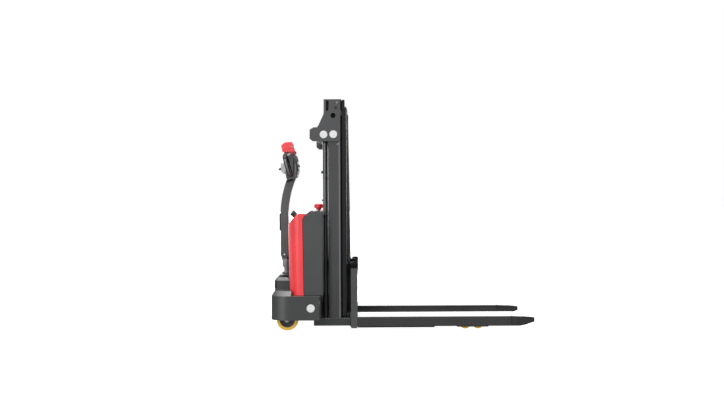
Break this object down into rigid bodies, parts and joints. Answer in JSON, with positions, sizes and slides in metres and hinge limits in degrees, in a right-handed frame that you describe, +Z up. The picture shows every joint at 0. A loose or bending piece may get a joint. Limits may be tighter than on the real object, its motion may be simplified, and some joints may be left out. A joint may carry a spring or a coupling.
{
  "type": "electric stacker",
  "caption": "Pedestrian electric stacker with a tiller, a two-stage mast, chain-lifted forks over support legs and castors beside a steered drive wheel.",
  "frame": {"origin": "on the floor, in the middle of the length and the width", "axes": "+X along the forks to their tips, +Y to the truck's left, +Z up"},
  "size_m": [1.7169, 0.72, 1.486],
  "materials": {
    "graphite_paint": "satin",
    "mast_paint": "satin",
    "fork_paint": "semi-gloss",
    "red_paint": "semi-gloss",
    "dark_cover": "satin",
    "panel_plastic": "fine grain",
    "step_plastic": "fine grain",
    "tiller_paint": "satin",
    "black_plastic": "fine grain",
    "grip_plastic": "soft touch",
    "paddle_plastic": "satin",
    "red_plastic": "gloss",
    "bright_steel": "turned",
    "rod_chrome": "polished",
    "dark_steel": "oiled",
    "yellow_tread": "polyurethane",
    "drive_tread": "rubber",
    "battery_case": "moulded",
    "motor_paint": "gloss",
    "tank_plastic": "translucent look",
    "controller_alloy": "cast"
  },
  "bodies": {
    "chassis": {"chassis_skirt": "graphite_paint", "chassis_frame": "graphite_paint", "step_cover": "step_plastic", "rear_cover": "red_paint", "body_cover": "dark_cover", "top_panel": "panel_plastic", "leg_base": "graphite_paint", "left_leg": "graphite_paint", "right_leg": "graphite_paint", "left_mast_rail": "mast_paint", "right_mast_rail": "mast_paint", "mast_head": "mast_paint", "lift_cylinders": "mast_paint", "pump_motor": "motor_paint", "hydraulic_tank": "tank_plastic", "battery": "battery_case", "controller": "controller_alloy", "estop_base": "black_plastic", "key_switch": "black_plastic", "bearing_outer_ring": "bright_steel", "cover_screws": "dark_steel", "rear_chains": "dark_steel"},
    "inner_mast": {"inner_left_rail": "mast_paint", "inner_right_rail": "mast_paint", "inner_beams": "mast_paint", "lift_rods": "rod_chrome", "front_chains": "dark_steel"},
    "carriage": {"carriage_frame": "graphite_paint", "left_fork": "fork_paint", "right_fork": "fork_paint"},
    "steering": {"drive_yoke": "graphite_paint", "bearing_inner_ring": "bright_steel", "tiller_base": "tiller_paint", "drive_axle": "bright_steel"},
    "tiller": {"tiller_arm": "tiller_paint", "tiller_cover": "black_plastic", "tiller_head": "grip_plastic", "tiller_pin": "bright_steel"},
    "chain_sheaves": {"chain_sheaves": "dark_steel"},
    "mast_top_rollers": {"mast_top_rollers": "bright_steel"},
    "inner_foot_rollers": {"inner_foot_rollers": "bright_steel"},
    "carriage_upper_rollers": {"carriage_upper_rollers": "bright_steel"},
    "carriage_lower_rollers": {"carriage_lower_rollers": "bright_steel"},
    "drive_wheel": {"drive_wheel": "drive_tread"},
    "belly_button": {"belly_button": "red_plastic"},
    "throttle_butterfly": {"throttle_butterfly": "paddle_plastic"},
    "lift_rocker": {"lift_rocker": "black_plastic"},
    "horn_button": {"horn_button": "black_plastic"},
    "key": {"key": "bright_steel"},
    "estop_button": {"estop_button": "red_plastic"},
    "left_castor_yoke": {"left_castor_yoke": "dark_steel"},
    "right_castor_yoke": {"right_castor_yoke": "dark_steel"},
    "left_castor_wheel": {"left_castor_wheel": "yellow_tread"},
    "right_castor_wheel": {"right_castor_wheel": "yellow_tread"},
    "left_bogie": {"left_bogie": "dark_steel"},
    "right_bogie": {"right_bogie": "dark_steel"},
    "left_front_load_wheel": {"left_front_load_wheel": "yellow_tread"},
    "right_front_load_wheel": {"right_front_load_wheel": "yellow_tread"},
    "left_rear_load_wheel": {"left_rear_load_wheel": "yellow_tread"},
    "right_rear_load_wheel": {"right_rear_load_wheel": "yellow_tread"}
  },
  "joints": [
    {"name": "mast_lift", "type": "slide", "parent": "chassis", "child": "inner_mast", "axis": [0, 0, 1], "range_m": [0, 0.9], "deforming": ["rear_chains"]},
    {"name": "carriage_lift", "type": "slide", "parent": "inner_mast", "child": "carriage", "axis": [0, 0, 1], "range_m": [0, 0.9], "deforming": ["front_chains"]},
    {"name": "sheave_spin", "type": "hinge", "parent": "inner_mast", "child": "chain_sheaves", "pos_m": [-0.4015, 0, 1.43], "axis": [0, -1, 0], "range_deg": [-2, 1291.16]},
    {"name": "mast_top_roller_spin", "type": "hinge", "parent": "chassis", "child": "mast_top_rollers", "pos_m": [-0.4135, 0, 1.4], "axis": [0, 1, 0], "range_deg": [-2, 1940.58]},
    {"name": "foot_roller_spin", "type": "hinge", "parent": "inner_mast", "child": "inner_foot_rollers", "pos_m": [-0.4355, 0, 0.124], "axis": [0, -1, 0], "range_deg": [-2, 1940.58]},
    {"name": "upper_roller_spin", "type": "hinge", "parent": "carriage", "child": "carriage_upper_rollers", "pos_m": [-0.4135, 0, 0.385], "axis": [0, 1, 0], "range_deg": [-2, 1940.58]},
    {"name": "lower_roller_spin", "type": "hinge", "parent": "carriage", "child": "carriage_lower_rollers", "pos_m": [-0.4135, 0, 0.14], "axis": [0, -1, 0], "range_deg": [-2, 1940.58]},
    {"name": "steering_turn", "type": "hinge", "parent": "chassis", "child": "steering", "pos_m": [-0.7615, 0, 0.2], "axis": [0, 0, 1], "range_deg": [-90, 90]},
    {"name": "drive_spin", "type": "hinge", "parent": "steering", "child": "drive_wheel", "pos_m": [-0.7615, 0, 0.085], "axis": [0, 1, 0], "continuous": true},
    {"name": "tiller_swing", "type": "hinge", "parent": "steering", "child": "tiller", "pos_m": [-0.7935, 0, 0.467], "axis": [0, -1, 0], "range_deg": [0, 80], "stiffness_Nm_per_rad": 24, "springref_deg": -20.05},
    {"name": "belly_press", "type": "slide", "parent": "tiller", "child": "belly_button", "axis": [0.2588, 0, -0.9659], "range_m": [0, 0.008], "stiffness_N_per_m": 800, "springref_m": -0.008},
    {"name": "throttle_turn", "type": "hinge", "parent": "tiller", "child": "throttle_butterfly", "pos_m": [-0.79607, 0, 1.05792], "axis": [0, 1, 0], "range_deg": [-20, 20], "stiffness_Nm_per_rad": 3},
    {"name": "rocker_tilt", "type": "hinge", "parent": "tiller", "child": "lift_rocker", "pos_m": [-0.7106, 0, 1.12534], "axis": [0, 1, 0], "range_deg": [-8, 8], "stiffness_Nm_per_rad": 0.6},
    {"name": "horn_press", "type": "slide", "parent": "tiller", "child": "horn_button", "axis": [-0.9659, 0, -0.2588], "range_m": [0, 0.003], "stiffness_N_per_m": 500, "springref_m": -0.002},
    {"name": "key_turn", "type": "hinge", "parent": "chassis", "child": "key", "pos_m": [-0.69275, -0.15, 0.72975], "axis": [-0.7343, 0, 0.6789], "range_deg": [0, 90]},
    {"name": "estop_press", "type": "slide", "parent": "chassis", "child": "estop_button", "axis": [0, 0, -1], "range_m": [0, 0.005]},
    {"name": "left_castor_swivel", "type": "hinge", "parent": "chassis", "child": "left_castor_yoke", "pos_m": [-0.7165, 0.246, 0.2], "axis": [0, 0, 1], "continuous": true},
    {"name": "right_castor_swivel", "type": "hinge", "parent": "chassis", "child": "right_castor_yoke", "pos_m": [-0.7165, -0.246, 0.2], "axis": [0, 0, 1], "continuous": true},
    {"name": "left_castor_spin", "type": "hinge", "parent": "left_castor_yoke", "child": "left_castor_wheel", "pos_m": [-0.7445, 0.246, 0.07], "axis": [0, 1, 0], "continuous": true},
    {"name": "right_castor_spin", "type": "hinge", "parent": "right_castor_yoke", "child": "right_castor_wheel", "pos_m": [-0.7445, -0.246, 0.07], "axis": [0, 1, 0], "continuous": true},
    {"name": "left_bogie_rock", "type": "hinge", "parent": "chassis", "child": "left_bogie", "pos_m": [0.4485, 0.2, 0.052], "axis": [0, 1, 0], "range_deg": [-5, 5]},
    {"name": "right_bogie_rock", "type": "hinge", "parent": "chassis", "child": "right_bogie", "pos_m": [0.4485, -0.2, 0.052], "axis": [0, 1, 0], "range_deg": [-5, 5]},
    {"name": "left_front_load_spin", "type": "hinge", "parent": "left_bogie", "child": "left_front_load_wheel", "pos_m": [0.4905, 0.2, 0.038], "axis": [0, 1, 0], "continuous": true},
    {"name": "left_rear_load_spin", "type": "hinge", "parent": "left_bogie", "child": "left_rear_load_wheel", "pos_m": [0.4065, 0.2, 0.038], "axis": [0, 1, 0], "continuous": true},
    {"name": "right_front_load_spin", "type": "hinge", "parent": "right_bogie", "child": "right_front_load_wheel", "pos_m": [0.4905, -0.2, 0.038], "axis": [0, 1, 0], "continuous": true},
    {"name": "right_rear_load_spin", "type": "hinge", "parent": "right_bogie", "child": "right_rear_load_wheel", "pos_m": [0.4065, -0.2, 0.038], "axis": [0, 1, 0], "continuous": true}
  ],
  "couplings": [
    {"joint": "carriage_lift", "follows": "mast_lift", "ratio": 1},
    {"joint": "sheave_spin", "follows": "mast_lift", "rad_per_m": 25},
    {"joint": "mast_top_roller_spin", "follows": "mast_lift", "rad_per_m": 37.594},
    {"joint": "foot_roller_spin", "follows": "mast_lift", "rad_per_m": 37.594},
    {"joint": "upper_roller_spin", "follows": "mast_lift", "rad_per_m": 37.594},
    {"joint": "lower_roller_spin", "follows": "mast_lift", "rad_per_m": 37.594}
  ]
}
